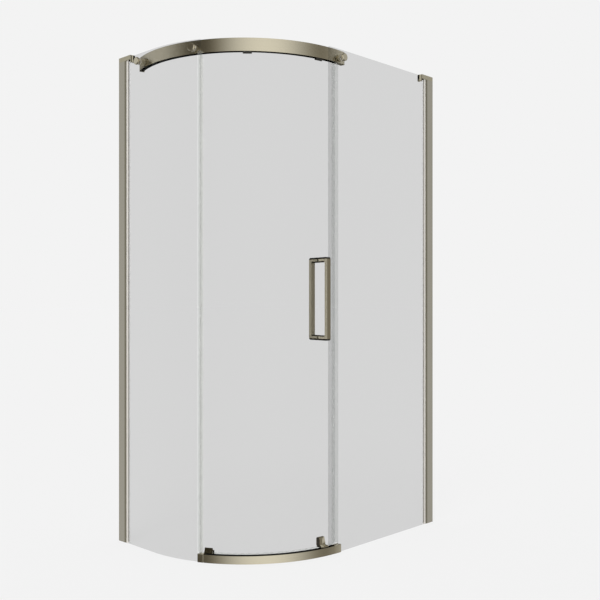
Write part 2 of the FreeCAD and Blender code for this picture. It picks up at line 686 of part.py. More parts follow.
right_glass = new_body("right_fixed_glass", "270")
sketch = new_sketch(right_glass, "XZ_Plane")
outline(sketch, glass_section)
revolve(right_glass, sketch, "270 - right_edge", back=True)
sketch = new_sketch(right_glass, "XZ_Plane")
outline(sketch, glass_section)
pad(right_glass, sketch, "- centre_x - glass_wall_gap", back=True)
bore(right_glass, "0", "clamp_side", "clamp_height", "clamp_glass_hole")
keep(left_glass, right_glass)

# --------------------------------------------------------------------------- header rail

header = ring("header_rail", "rail_start", "rail_end - rail_start", [
    ("rail_in", "rail_low"), ("rail_in + rail_wall", "rail_low"), ("rail_in + rail_wall", "track_low"),
    ("mid - 0.5*track_slot", "track_low"), ("mid - 0.5*track_slot", "track_top"),
    ("rail_in + rail_wall", "track_top"), ("rail_in + rail_wall", "rail_top - rail_roof"),
    ("rail_out - rail_wall", "rail_top - rail_roof"), ("rail_out - rail_wall", "track_top"),
    ("mid + 0.5*track_slot", "track_top"), ("mid + 0.5*track_slot", "track_low"),
    ("rail_out - rail_wall", "track_low"), ("rail_out - rail_wall", "rail_low"),
    ("rail_out", "rail_low"), ("rail_out", "rail_top"), ("rail_in", "rail_top")])
bore(header, "180 - rail_start", "- clamp_back", "clamp_height", "clamp_bore",
     "left_face + cut_over", "clamp_bite + tip_gap + cut_over")
bore(header, "clamp_middle - rail_start", "0", "clamp_height", "clamp_bore",
     "rail_out + cut_over", "clamp_bite + tip_gap + cut_over")

end_left = ring("header_end_left", "rail_start", "end_left_sweep",
                box_points("rail_in", "rail_out", "rail_low - end_left_drop", "rail_top"), back=True)
end_right = ring("header_end_right", "rail_end", "end_right_sweep",
                 box_points("rail_in", "rail_out", "rail_low", "rail_top"))
bore(end_right, "270 - rail_end", "clamp_side", "clamp_height", "clamp_bore",
     "right_face + cut_over", "clamp_bite + tip_gap + cut_over")
far = value("end_right_sweep")
rounded(end_right, "end_round", lambda e: upright(e) and abs(
    math.degrees(math.atan2(e.Vertexes[0].Y, e.Vertexes[0].X)) - far) < 0.05)

stop_section = box_points("door_in", "door_out", "rail_low + stop_low", "track_low")
stops = group("header_stops", [
    ring("header_stop_left", "rail_start", "stop_sweep", stop_section),
    ring("header_stop_right", "rail_end", "stop_sweep", stop_section, back=True)])
keep(header, end_left, end_right, stops)

# --------------------------------------------------------------------------- clamps

clamps = [("left", "180", "- clamp_back", "left_face"), ("middle", "clamp_middle", "0", "rail_out"),
          ("right", "270", "clamp_side", "right_face")]
caps, washers, spacers, studs = [], [], [], []
cap_face = "corner_radius + clamp_washer"
spacer_face = "glass_in - curve_gap - clamp_washer"
for name, turn, lateral, face in clamps:
    caps.append(disc("clamp_cap_" + name, turn, lateral, "clamp_height", cap_face,
                     cap_face + " + clamp_cap_thick", "clamp_cap", bevel="clamp_bevel"))
    bore(caps[-1], "0", "0", "0", "clamp_bore", cap_face + " + clamp_cap_bite", "clamp_cap_bite + cut_over")
    washers.append(disc("clamp_washer_out_" + name, turn, lateral, "clamp_height", "corner_radius",
                        cap_face, "clamp_spacer", hole="0.5*clamp_glass_hole"))
    washers.append(disc("clamp_washer_in_" + name, turn, lateral, "clamp_height", spacer_face,
                        "glass_in - curve_gap", "clamp_spacer", hole="0.5*clamp_glass_hole"))
    blank = disc("clamp_spacer_blank_" + name, turn, lateral, "clamp_height",
                 face + " - clamp_spacer", spacer_face, "clamp_spacer", hole="0.5*clamp_bore")
    drum = document.addObject("Part::Cylinder", "clamp_drum_" + name)
    drum.Placement = FreeCAD.Placement(Vector(value("centre_x"), value("centre_y"), 0), Rotation())
    drum.Radius = value("rail_out + saddle_gap")
    drum.setExpression("Placement.Base.x", formula("centre_x"))
    drum.setExpression("Placement.Base.y", formula("centre_y"))
    drum.setExpression("Radius", formula("rail_out + saddle_gap"))
    drum.setExpression("Height", formula("rail_top + clamp_spacer"))
    spacer = document.addObject("Part::Cut", "clamp_spacer_" + name)
    spacer.Base = blank
    spacer.Tool = drum
    spacers.append(spacer)
    studs.append(disc("clamp_stud_" + name, turn, lateral, "clamp_height", face + " - clamp_bite",
                      cap_face + " + clamp_cap_bite - tip_gap", "clamp_stud"))
keep(group("clamp_caps", caps), group("clamp_washers", washers), group("clamp_spacers", spacers),
     group("clamp_studs", studs))

# --------------------------------------------------------------------------- threshold

sill = ring("threshold_rail", "sill_end", "sill_end - sill_start", [
    ("sill_in", "0"), ("sill_out", "0"), ("sill_out", "sill_height - sill_lip"),
    ("sill_out - sill_lip", "sill_height"), ("sill_out - sill_wall", "sill_height"),
    ("sill_out - sill_wall", "sill_base"), ("sill_in + sill_wall", "sill_base"),
    ("sill_in + sill_wall", "sill_height"), ("sill_in", "sill_height")], back=True)
# the corner of the right glass stands on the tray inside the rail's end
ring_cut(sill, "sill_end - right_edge + sill_edge_gap",
         box_points("sill_in + sill_wall", "sill_out - sill_wall", "- cut_over", "sill_base"), back=True)

liner_top = "sill_height - liner_drop"
liner_in = "sill_in + sill_wall"
liner_out = "sill_out - sill_wall"
liner = ring("threshold_liner", "sill_start", "right_edge - sill_start - sill_edge_gap - liner_end", [
    (liner_in, "sill_base"), (liner_out, "sill_base"), (liner_out, liner_top),
    (liner_out + " - liner_wall", liner_top), (liner_out + " - liner_wall", "sill_base + liner_base"),
    (liner_in + " + liner_wall", "sill_base + liner_base"), (liner_in + " + liner_wall", liner_top),
    (liner_in, liner_top)])

cap_section = [("sill_in", "0"), ("sill_out + cap_proud", "0"),
               ("sill_out + cap_proud", "sill_height - sill_lip"),
               ("sill_out + cap_proud - sill_lip", "sill_height"), ("sill_in", "sill_height")]
slot_section = box_points("glass_in - sill_slot_gap", "corner_radius + sill_slot_gap",
                          "- cut_over", "sill_height + cut_over")
sill_left = ring("threshold_end_left", "sill_start - sill_left_sweep", "sill_left_sweep", cap_section)
ring_cut(sill_left, "left_edge - sill_start + sill_left_sweep + sill_edge_gap", slot_section)
near_rail = value("sill_left_sweep")
rounded(sill_left, "sill_notch", lambda e: upright(e) and e.Vertexes[0].Point.x > value("sill_out") - 2
        and abs(math.degrees(math.atan2(e.Vertexes[0].Y, e.Vertexes[0].X)) - near_rail) < 0.05, bevel=True)
# the right glass runs on through the right end, so that cap is two halves on the glass
sill_right = ring("threshold_end_right", "sill_end", "sill_right_sweep", [
    ("corner_radius + sill_slot_gap", "0"), ("sill_out + cap_proud", "0"),
    ("sill_out + cap_proud", "sill_height - sill_lip"), ("sill_out + cap_proud - sill_lip", "sill_height"),
    ("corner_radius + sill_slot_gap", "sill_height")])
sill_right_in = ring("threshold_end_inner", "sill_end", "sill_right_sweep",
                     box_points("sill_in", "glass_in - sill_slot_gap", "0", "sill_height"))

shoe_out = "door_out + shoe_gap"
shoe_in = "door_in - shoe_gap"
shoe = ring("threshold_shoe", "shoe_at", "shoe_sweep", [
    (shoe_in + " - shoe_cheek", "shoe_foot"), ("sill_in - shoe_seat", "shoe_foot"),
    ("sill_in - shoe_seat", "shoe_step"), (shoe_out + " + shoe_cheek", "shoe_high - shoe_slope"),
    (shoe_out + " + shoe_cheek - shoe_lead", "shoe_high"), (shoe_out + " + shoe_lead", "shoe_high"),
    (shoe_out, "shoe_high - shoe_slope"), (shoe_out, "shoe_floor"), (shoe_in, "shoe_floor"),
    (shoe_in, "shoe_inner - shoe_lead"), (shoe_in + " - shoe_lead", "shoe_inner"),
    (shoe_in + " - shoe_cheek", "shoe_inner")], midplane=True)
keep(sill, liner, sill_left, sill_right, sill_right_in, shoe)

# --------------------------------------------------------------------------- door leaf

door = ring("door_glass", "door_left", "door_right - door_left",
            box_points("door_in", "door_out", "door_low", "door_high"))
arm_levels = ["handle_mid + 0.5*handle_height - 0.5*handle_arm",
              "handle_mid - 0.5*handle_height + 0.5*handle_arm"]
guide_levels = ["guide_screw_low", "guide_screw_low + guide_screw_pitch"]
for at in ("hanger_left", "hanger_right"):
    for spread in (" - pin_spread", " + pin_spread"):
        bore(door, at + spread + " - door_left", "0", "pin_height", "pin + 2*pin_play")
for level in arm_levels:
    bore(door, "handle_at - door_left", "0", level, "handle_stud + 2*handle_play")
for level in guide_levels:
    bore(door, "guide_at - door_left", "0", level, "guide_screw + 2*guide_play")
keep(door)

# hangers: a saddle on the glass edge with a stem up through the slot between the tracks
leg_out = "door_out + hanger_fit"
leg_in = "door_in - hanger_fit"
stem_top = "axle_height + stem_over"
pins = []
for side in ("left", "right"):
    at = "hanger_" + side
    hanger = ring(at + "_block", at, "hanger_sweep", [
        (leg_out, "hanger_low"), (leg_out + " + hanger_leg", "hanger_low"),
        (leg_out + " + hanger_leg", "hanger_top"),
        (leg_in + " - hanger_leg", "hanger_top"), (leg_in + " - hanger_leg", "hanger_low"),
        (leg_in, "hanger_low"), (leg_in, "door_high + hanger_fit"), (leg_out, "door_high + hanger_fit")],
        midplane=True)
    sketch = new_sketch(hanger, "YZ_Plane", "mid - 0.5*stem_thick")
    outline(sketch, [
        ("- 0.5*stem_width", "hanger_top - stem_root"), ("0.5*stem_width", "hanger_top - stem_root"),
        ("0.5*stem_width", stem_top + " - stem_bevel"), ("0.5*stem_width - stem_bevel", stem_top),
        ("- 0.5*stem_width + stem_bevel", stem_top), ("- 0.5*stem_width", stem_top + " - stem_bevel")])
    pad(hanger, sketch, "stem_thick")
    bore(hanger, "0", "0", "axle_height", "axle + 2*axle_fit")
    for spread in ("- pin_spread", "pin_spread"):
        bore(hanger, spread, "0", "pin_height", "pin + 2*press_fit")
        turn = at + (" " if spread[0] == "-" else " + ") + spread
        pins.append(disc("hanger_pin_%d" % len(pins), turn, "0", "pin_height",
                         leg_in + " - hanger_leg + pin_in", leg_out + " + hanger_leg - pin_in", "pin"))
    hub = "0.5*axle + press_fit"
    pair = [
        disc("roller_%s_in" % side, at, "0", "axle_height",
             "mid - 0.5*stem_thick - roller_off - roller_thick",
             "mid - 0.5*stem_thick - roller_off", "roller", hole=hub),
        disc("roller_%s_out" % side, at, "0", "axle_height", "mid + 0.5*stem_thick + roller_off",
             "mid + 0.5*stem_thick + roller_off + roller_thick", "roller", hole=hub)]
    axle = disc("roller_axle_" + side, at, "0", "axle_height",
                "mid - 0.5*stem_thick - roller_off - roller_thick - axle_past",
                "mid + 0.5*stem_thick + roller_off + roller_thick + axle_past", "axle")
    keep(hanger, group("rollers_" + side, pair), axle)
keep(group("hanger_pins", pins))

# travelling guide: block outside the door, plate inside, wheel in the threshold's groove
arm_end = "groove_mid + 0.5*wheel"
guide = new_body("guide_block", "guide_at")
sketch = new_sketch(guide, "XZ_Plane")
outline(sketch, [
    ("door_out + guide_seat", "guide_foot"), (arm_end, "guide_foot"), (arm_end, "guide_foot + guide_arm"),
    ("groove_mid - 0.5*wheel", "guide_foot + guide_arm + guide_slope"),
    ("door_out + guide_reach", "guide_high - guide_slope"),
    ("door_out + guide_reach - 0.5*guide_slope", "guide_high"), ("door_out + guide_seat", "guide_high")])
pad(guide, sketch, "guide_width", midplane=True)
# on its right the front turns back towards the glass, and the side leans in towards the top
front = "door_out + guide_reach"
turn_at = "guide_face - 0.5*guide_width"
sketch = new_sketch(guide, "XY_Plane", "guide_foot + guide_arm")
outline(sketch, [(front, turn_at), (arm_end + " + cut_over", turn_at),
                 (arm_end + " + cut_over", "0.5*guide_width + cut_over"),
                 (front + " - guide_turn", "0.5*guide_width + cut_over")])
pocket(guide, sketch, "guide_tall", back=True)
sketch = new_sketch(guide, "YZ_Plane")
outline(sketch, [("0.5*guide_width", "guide_foot + guide_arm"),
                 ("0.5*guide_width + cut_over", "guide_foot + guide_arm"),
                 ("0.5*guide_width + cut_over", "guide_high + cut_over"),
                 ("0.5*guide_width - guide_taper", "guide_high + cut_over"),
                 ("0.5*guide_width - guide_taper", "guide_high")])
pocket(guide, sketch)
sketch = new_sketch(guide, "XY_Plane")
circle(sketch, "groove_mid", "0", "wheel_axle + 2*press_fit")
pocket(guide, sketch)
plate = new_body("guide_plate", "guide_at")
sketch = new_sketch(plate, "XZ_Plane")
outline(sketch, box_points("door_in - guide_seat - guide_plate", "door_in - guide_seat",
                           "guide_foot", "guide_high - guide_slope"))
pad(plate, sketch, "guide_back_width", midplane=True)
rounded(plate, "guide_round", lambda e: abs(e.Vertexes[0].X - e.Vertexes[-1].X) > value("guide_plate") - 0.01)
screws = []
for i, level in enumerate(guide_levels):
    for holed in (guide, plate):
        bore(holed, "0", "0", level, "guide_screw + 2*screw_fit", "door_out + guide_bite + tip_gap",
             "guide_bite + tip_gap + door_thick + guide_seat + guide_plate + cut_over")
    screw = new_body("guide_screw_%d" % i, "guide_at", "0", level)
    sketch = new_sketch(screw, "XY_Plane")
    under = "door_in - guide_seat - guide_plate"
    outline(sketch, [
        (under + " - 0.5*guide_screw", "0"), ("door_out + guide_bite", "0"),
        ("door_out + guide_bite", "0.5*guide_screw"), (under, "0.5*guide_screw"), (under, "guide_screw"),
        (under + " - 0.25*guide_screw", "guide_screw"), (under + " - 0.5*guide_screw", "0.6*guide_screw")])
    revolve(screw, sketch, "360", about="H_Axis")
    screws.append(screw)
wheel = new_body("guide_wheel", "guide_at")
sketch = new_sketch(wheel, "XY_Plane", "wheel_low")
circle(sketch, "groove_mid", "0", "wheel")
circle(sketch, "groove_mid", "0", "wheel_axle + 2*wheel_fit")
pad(wheel, sketch, "wheel_thick")
spindle = new_body("guide_axle", "guide_at")
sketch = new_sketch(spindle, "XY_Plane", "wheel_low - wheel_rest - wheel_head")
circle(sketch, "groove_mid", "0", "2*wheel_axle")
pad(spindle, sketch, "wheel_head")
sketch = new_sketch(spindle, "XY_Plane", "wheel_low - wheel_rest")
circle(sketch, "groove_mid", "0", "wheel_axle")
pad(spindle, sketch, "guide_foot + guide_arm - wheel_low + wheel_rest")
keep(guide, plate, group("guide_screws", screws), wheel, spindle)

# handle: two C-shaped halves back to back, studs and washers through the glass
half = "0.5*handle_height"


def handle(label, foot, crest, outward):
    body = new_body(label, "handle_at", "0", "handle_mid")
    bar = crest + (" - handle_bar" if outward else " + handle_bar")
    sketch = new_sketch(body, "XZ_Plane")
    outline(sketch, [
        (foot, half), (crest, half), (crest, "- " + half), (foot, "- " + half),
        (foot, "- " + half + " + handle_arm"), (bar, "- " + half + " + handle_arm"),
        (bar, half + " - handle_arm"), (foot, half + " - handle_arm")])
    pad(body, sketch, "handle_width", midplane=True)
    far_x, bar_x = value(crest), value(bar)
    rounded(body, "handle_round", lambda e: abs(e.Vertexes[0].X - far_x) < 0.01
            and abs(e.Vertexes[-1].X - far_x) < 0.01
            and abs(abs(e.Vertexes[0].Y - e.Vertexes[-1].Y) - value("handle_width")) < 0.01)
    rounded(body, "handle_inner_round", lambda e: abs(e.Vertexes[0].X - bar_x) < 0.01
            and abs(e.Vertexes[-1].X - bar_x) < 0.01
            and abs(abs(e.Vertexes[0].Y - e.Vertexes[-1].Y) - value("handle_width")) < 0.01)
    side_y = 0.5 * value("handle_width")
    foot_x = value(foot)
    rounded(body, "handle_ease", lambda e: all(abs(abs(v.Y) - side_y) < 0.01 for v in e.Vertexes)
            and abs(e.Vertexes[0].Y - e.Vertexes[-1].Y) < 0.01
            and any(abs(v.X - foot_x) > 0.01 for v in e.Vertexes), bevel=True)
    for level in (half + " - 0.5*handle_arm", "- " + half + " + 0.5*handle_arm"):
        if outward:
            bore(body, "0", "0", level, "handle_bore", foot + " + handle_bite", "handle_bite + cut_over")
        else:
            bore(body, "0", "0", level, "handle_bore", foot + " + cut_over", "handle_bite + cut_over")
    return body


outer_foot = "door_out + handle_seat + handle_washer"
inner_foot = "door_in - handle_seat - handle_washer"
handle_outer = handle("handle_outer", outer_foot, "door_out + handle_depth", True)
handle_inner = handle("handle_inner", inner_foot, "door_in - handle_depth", False)
washers = []
studs = []
for i, level in enumerate(arm_levels):
    washers.append(disc("handle_washer_out_%d" % i, "handle_at", "0", level,
                        "door_out + handle_seat", outer_foot, "handle_washer_dia", hole="0.5*handle_bore"))
    washers.append(disc("handle_washer_in_%d" % i, "handle_at", "0", level,
                        inner_foot, "door_in - handle_seat", "handle_washer_dia", hole="0.5*handle_bore"))
    studs.append(disc("handle_stud_%d" % i, "handle_at", "0", level,
                      inner_foot + " - handle_bite + tip_gap", outer_foot + " + handle_bite - tip_gap",
                      "handle_stud"))
keep(handle_outer, handle_inner, group("handle_washers", washers), group("handle_studs", studs))

# --------------------------------------------------------------------------- seals


def strip(label, low, high, points, fin_top=None):
    """An upright seal from its section in plan, given as (radius, degrees)."""
    body = new_body(label)
    sketch = new_sketch(body, "XY_Plane", low)
    outline(sketch, points, polar=True)
    pad(body, sketch, high + " - " + low)
    if fin_top:
        sketch = new_sketch(body, "XY_Plane", high)
        outline(sketch, fin_top, polar=True)
        pad(body, sketch, "fin_high - " + high)
    return body


def sector(r_in, r_out, a0, a1):
    return [(r_in, a0), (r_out, a0), (r_out, a1), (r_in, a1)]


clip_o, clip_oo = "door_out + seal_fit", "door_out + seal_fit + seal_wall"
clip_i, clip_ii = "door_in - seal_fit", "door_in - seal_fit - seal_wall"
fin_tip = "glass_in - fin_gap"
# the trailing fin passes behind the clip of the fixed seal
tail_tip = "glass_in - seal_fit - seal_wall - fin_gap"
fin_root = "rail_out + fin_rail_gap"

grip = "door_right - seal_grip"
web = "door_right + seal_end"
end = "door_right + seal_end + seal_web"
closing = strip("door_closing_seal", "seal_low", "seal_high", [
    (clip_o, grip), (clip_oo, grip), (clip_oo, end + " - fin"), (fin_tip, end + " - fin"), (fin_tip, end),
    (clip_ii, end), (clip_ii, grip), (clip_i, grip), (clip_i, web), (clip_o, web)],
    sector(fin_root, fin_tip, end + " - fin", end))

grip = "door_left + seal_grip"
web = "door_left - seal_end"
end = "door_left - seal_end - seal_web"
trailing = strip("door_trailing_seal", "seal_low", "seal_high", [
    (clip_o, web), (clip_o, grip), (tail_tip, grip), (tail_tip, grip + " - fin"), (clip_oo, grip + " - fin"),
    (clip_oo, end), (clip_ii, end), (clip_ii, grip), (clip_i, grip), (clip_i, web)],
    sector(fin_root, tail_tip, grip + " - fin", grip))

pane_o, pane_oo = "corner_radius + seal_fit", "corner_radius + seal_fit + seal_wall"
pane_i, pane_ii = "glass_in - seal_fit", "glass_in - seal_fit - seal_wall"
grip = "left_edge - seal_grip"
web = "left_edge + seal_end"
end = "left_edge + seal_end + seal_web"
edge_seal = strip("left_edge_seal", "seal_low", "edge_high", [
    (pane_o, grip), (pane_oo, grip), (pane_oo, end), ("door_out + fin_gap", end),
    ("door_out + fin_gap", end + " - fin"), (pane_ii, end + " - fin"), (pane_ii, grip), (pane_i, grip),
    (pane_i, web), (pane_o, web)],
    [(pane_o, grip), (pane_oo, grip), (pane_oo, end), (fin_root, end), (fin_root, end + " - fin"),
     (pane_ii, end + " - fin"), (pane_ii, grip), (pane_i, grip), (pane_i, web), (pane_o, web)])

drip = ring("door_bottom_seal", "door_left", "door_right - door_left", [
    (clip_o, "door_low"), (clip_o, "door_low + drip_leg"), (clip_oo, "door_low + drip_leg"),
    (clip_oo, "door_low - drip_web"), ("mid + 0.5*drip_thick", "door_low - drip_web"),
    ("mid + 0.5*drip_thick", "door_low - drip_web - drip_lip"),
    ("mid - 0.5*drip_thick", "door_low - drip_web - drip_lip"), ("mid - 0.5*drip_thick", "door_low - drip_web"),
    (clip_ii, "door_low - drip_web"), (clip_ii, "door_low + drip_leg"), (clip_i, "door_low + drip_leg"),
    (clip_i, "door_low")])
keep(closing, trailing, edge_seal, drip)

# --------------------------------------------------------------------------- check and write

document.recompute()
for item in document.Objects:
    if "Invalid" in item.State or "Error" in item.State:
        raise RuntimeError("%s failed: %s" % (item.Label, item.State))
os.makedirs("parts", exist_ok=True)
for item in sub_parts:
    if item.Shape.isNull() or not item.Shape.isValid():
        raise RuntimeError(item.Label + " has no valid shape")
    if not item.Shape.Solids:
        raise RuntimeError(item.Label + " holds no solid")
for item in sub_parts:
    item.Shape.exportStep("parts/%s.step" % item.Label)
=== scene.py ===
import math

import bpy
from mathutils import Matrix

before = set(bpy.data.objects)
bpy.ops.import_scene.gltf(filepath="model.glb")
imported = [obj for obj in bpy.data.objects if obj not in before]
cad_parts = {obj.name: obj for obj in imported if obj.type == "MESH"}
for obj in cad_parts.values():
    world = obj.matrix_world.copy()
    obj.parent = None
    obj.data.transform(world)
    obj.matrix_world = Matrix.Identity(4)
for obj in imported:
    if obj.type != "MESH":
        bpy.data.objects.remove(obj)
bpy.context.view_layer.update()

# Quadrant shower enclosure. Metres, +Z up; the room's corner is the origin, and the curved
# glass is bent round ARC_X, ARC_Y. Every node sits at the origin, so its object space is the
# enclosure's own frame with the door shut, and patterns move with the piece.
MM = 0.001
ARC_X = -0.641
ARC_Y = -0.2445
ARC_RADIUS = 0.52        # lengths along the arc are taken here
GLASS_LEFT = -1.179      # outer faces of the two flat panes
GLASS_FRONT = -0.7825

# --------------------------------------------------------------------------- helpers


def linear(hex_colour):
    """sRGB hex to the linear colour that shaders take."""
    channels = []
    for i in (0, 2, 4):
        c = int(hex_colour[i:i + 2], 16) / 255
        channels.append(c / 12.92 if c <= 0.04045 else ((c + 0.055) / 1.055) ** 2.4)
    return (*channels, 1.0)


def add(tree, kind, inputs=None, **settings):
    """Adds a node; inputs maps socket names or numbers to values or to other sockets."""
    node = tree.nodes.new(kind)
    for key, amount in settings.items():
        setattr(node, key, amount)
    for key, amount in (inputs or {}).items():
        if isinstance(amount, bpy.types.NodeSocket):
            tree.links.new(amount, node.inputs[key])
        else:
            node.inputs[key].default_value = amount
    return node


def calc(tree, operation, *terms, **settings):
    """The result of a sum; the terms are numbers or sockets."""
    return add(tree, "ShaderNodeMath", dict(enumerate(terms)), operation=operation,
               **settings).outputs[0]


def calc_vector(tree, operation, *terms):
    """The same for vectors."""
    return add(tree, "ShaderNodeVectorMath", dict(enumerate(terms)), operation=operation).outputs[0]


def parts_of(tree, vector):
    """The three components of a vector."""
    return add(tree, "ShaderNodeSeparateXYZ", {0: vector}).outputs


def vector_of(tree, *components):
    """A vector from three components."""
    return add(tree, "ShaderNodeCombineXYZ", dict(enumerate(components))).outputs[0]


def noise(tree, at, scale=1.0, detail=2.0, **inputs):
    """A cloudy pattern from 0 to 1; scale is how many blotches go into a unit of length."""
    return add(tree, "ShaderNodeTexNoise", {
        "Vector": at, "Scale": scale, "Detail": detail, **inputs}).outputs[0]


def blend(tree, share, first, second):
    """The first colour where share is 0, the second where it is 1."""
    return add(tree, "ShaderNodeMixRGB", {0: share, 1: first, 2: second}).outputs[0]


def blend_shaders(tree, share, first, second):
    """The same for shaders."""
    return add(tree, "ShaderNodeMixShader", {0: share, 1: first, 2: second}).outputs[0]


def swing(tree, pattern, low, high):
    """Takes a pattern, most of which lies between 0.3 and 0.7, to low and high."""
    return add(tree, "ShaderNodeMapRange", {
        0: pattern, 1: 0.3, 2: 0.7, 3: low, 4: high}).outputs[0]


def bump(tree, height, strength, depth_mm, **inputs):
    """The direction of a grained face."""
    return add(tree, "ShaderNodeBump", {
        "Strength": strength, "Distance": depth_mm * MM, "Height": height, **inputs}).outputs[0]


def metal(tree, tone, roughness, normal):
    """A metal face; its tone is the colour that it gives to what it mirrors."""
    return add(tree, "ShaderNodeBsdfPrincipled", {
        "Base Color": tone, "Metallic": 1.0, "Roughness": roughness, "Normal": normal}).outputs[0]


def object_place(tree):
    """Object coordinates, metres."""
    return add(tree, "ShaderNodeTexCoord").outputs["Object"]


def grain_space(tree, run):
    """Coordinates in millimetres: first along the run of the extrusion, then the two across it."""
    x, y, z = parts_of(tree, object_place(tree))
    if run == "upright":
        along, across = z, (x, y)
    else:
        # bent round the arc: length along the arc, radius, height
        dx = calc(tree, "SUBTRACT", x, ARC_X)
        dy = calc(tree, "SUBTRACT", y, ARC_Y)
        along = calc(tree, "MULTIPLY", calc(tree, "ARCTAN2", dy, dx), ARC_RADIUS)
        squares = calc(tree, "MULTIPLY_ADD", dy, dy, calc(tree, "MULTIPLY", dx, dx))
        across = (calc(tree, "SQRT", squares), z)
    return calc_vector(tree, "MULTIPLY", vector_of(tree, along, *across),
                       (1 / MM, 1 / MM, 1 / MM))


def drawn_out(tree, space, run_mm, width_mm):
    """Grain space, scaled so that a blotch has this length along the run and this width."""
    return calc_vector(tree, "MULTIPLY", space, (1 / run_mm, 1 / width_mm, 1 / width_mm))


def new_material(name):
    """An empty node material, ready to be filled."""
    material = bpy.data.materials.new(name)
    material.use_nodes = True
    material.node_tree.nodes.clear()
    return material, material.node_tree


def finished(material, shader):
    """The material with its shader in place."""
    add(material.node_tree, "ShaderNodeOutputMaterial", {"Surface": shader})
    return material


# --------------------------------------------------------------------------- materials

# Measures from here to the finishes are in millimetres.
GRAIN = 0.9              # brushing lines; the real ones, near 0.1 mm, are too fine to show
GRAIN_RUN = 160          # length of a brushing line
CLOUD = 70               # slow change of sheen across an anodised length
CLOUD_RUN = 350          # and along it
CAST_RIPPLE = 1.1        # orange peel in the coat of the castings
CAST_CLOUD = 40
ROLLER_WAVE = 300        # toughening furnace's wave in the glass, from crest to crest
DRAW = 1.5               # draw lines in the clear PVC
DRAW_RUN = 300
PLASTIC_CLOUD = 33
TOOL_MARK = 0.7

# The hollows of both rails and their lips are painted near black, a painted shade for the deep
# channels that light hardly reaches: inner and outer radius, header first, and the height up to
# which the dark goes.
HOLLOWS = [(498.8, 518.8), (526.9, 544.8)]
HOLLOW_TOP = 2052
HOLLOW_SHADE_TONE = "100F0C"

# Edges of the handle's arms, whose bands are tipped and also painted dark, a painted reflection of
# the dark above and below: height, the way it faces (1 is up), half the width of its buffed band,
# and whether it is one of the two inner edges, which end at the bars.
ARM_EDGES = [(1194.5, 1, 3.5, False), (867.5, -1, 3.5, False),
             (882, 1, 2.3, True), (1180, -1, 2.3, True)]
DOOR_RADIUS = 509        # middle of the door glass
ARM_REACH = 42           # how far the arms stand out from it
EDGE_TILT = 1.5          # what a band adds to the upward share of its face's direction
# painted reflection: the dark tone painted on the arms' edge bands
EDGE_PAINTED_DARK_TONE = "3A362C"

# The guide block: its middle's angle round the arc, its half width, which is taken at the
# outer radius of the fixed glass, and how far from its left end it is drawn darker.
GUIDE_TURN = math.radians(260.37 - 360)
GUIDE_HALF_WIDTH = 19
OUTER_RADIUS = 538
DARK_END_DEPTH = 1.2
DARK_END_LIMIT = (GUIDE_TURN - GUIDE_HALF_WIDTH / OUTER_RADIUS) * ARC_RADIUS / MM + DARK_END_DEPTH
DARK_END_TONE = "37332A"

LIP_DEPTH = 5            # a gasket's inner lip begins this far behind the glass's outer face
LIP_ALPHA = 0.05


def hollow_shade_share(tree, space):
    """1 in the hollows of the curved rails, where shade is painted, 0 on their brushed faces."""
    _, radius, up = parts_of(tree, space)
    hollow = 0.0
    for inner, outer in HOLLOWS:
        between = calc(tree, "COMPARE", radius, (inner + outer) / 2, (outer - inner) / 2)
        hollow = calc(tree, "MAXIMUM", hollow, between)
    return calc(tree, "MULTIPLY", hollow, calc(tree, "LESS_THAN", up, HOLLOW_TOP))


def edge_tip(tree):
    """How far the handle's faces tip up or down: only in the bands at the arms' edges."""
    _, radius, up = parts_of(tree, grain_space(tree, "arc"))
    arms = calc(tree, "COMPARE", radius, DOOR_RADIUS, ARM_REACH)
    tip = 0.0
    for level, way, half_width, inner in ARM_EDGES:
        band = calc(tree, "COMPARE", up, level, half_width)
        if inner:
            band = calc(tree, "MULTIPLY", band, arms)
        tip = calc(tree, "MULTIPLY_ADD", band, EDGE_TILT * way, tip)
    return tip


def brushed_bronze(name, run, deep, light, roughness, eased_painted_edges=False):
    """Bronze-anodised aluminium, brushed along the extrusion: fine lines that run its length
    with a slight change of tone from line to line, and a soft reflection. Where its edges are asked
    for, the arms' upper and lower edges are buffed round and mirror what is dark above and below,
    and their bands are also painted dark, a painted reflection of it. Bent round the arc, the
    rails' hollows are painted near black, a painted shade."""
    material, tree = new_material(name)
    space = grain_space(tree, run)
    lines = noise(tree, drawn_out(tree, space, GRAIN_RUN, GRAIN), detail=3.0, Roughness=0.6)
    cloud = noise(tree, drawn_out(tree, space, CLOUD_RUN, CLOUD))
    rough = swing(tree, cloud, roughness - 0.03, roughness + 0.03)
    tone = blend(tree, lines, linear(deep), linear(light))
    facing = {}
    if eased_painted_edges:
        tip = edge_tip(tree)
        plain = add(tree, "ShaderNodeNewGeometry").outputs["Normal"]
        tipped = calc_vector(tree, "ADD", plain, vector_of(tree, 0.0, 0.0, tip))
        facing["Normal"] = calc_vector(tree, "NORMALIZE", tipped)
        # painted reflection: the edge bands are painted towards a dark tone, over their tipped
        # direction
        painted_dark_band = calc(tree, "ABSOLUTE", tip, use_clamp=True)
        tone = blend(tree, painted_dark_band, tone, linear(EDGE_PAINTED_DARK_TONE))
    shader = metal(tree, tone, rough, bump(tree, lines, 0.12, 0.03, **facing))
    # painted shade: on the curved rails the hollows become a near-black matt surface
    if run == "arc":
        dark = add(tree, "ShaderNodeBsdfDiffuse", {"Color": linear(HOLLOW_SHADE_TONE)}).outputs[0]
        shader = blend_shaders(tree, hollow_shade_share(tree, space), shader, dark)
    return finished(material, shader)


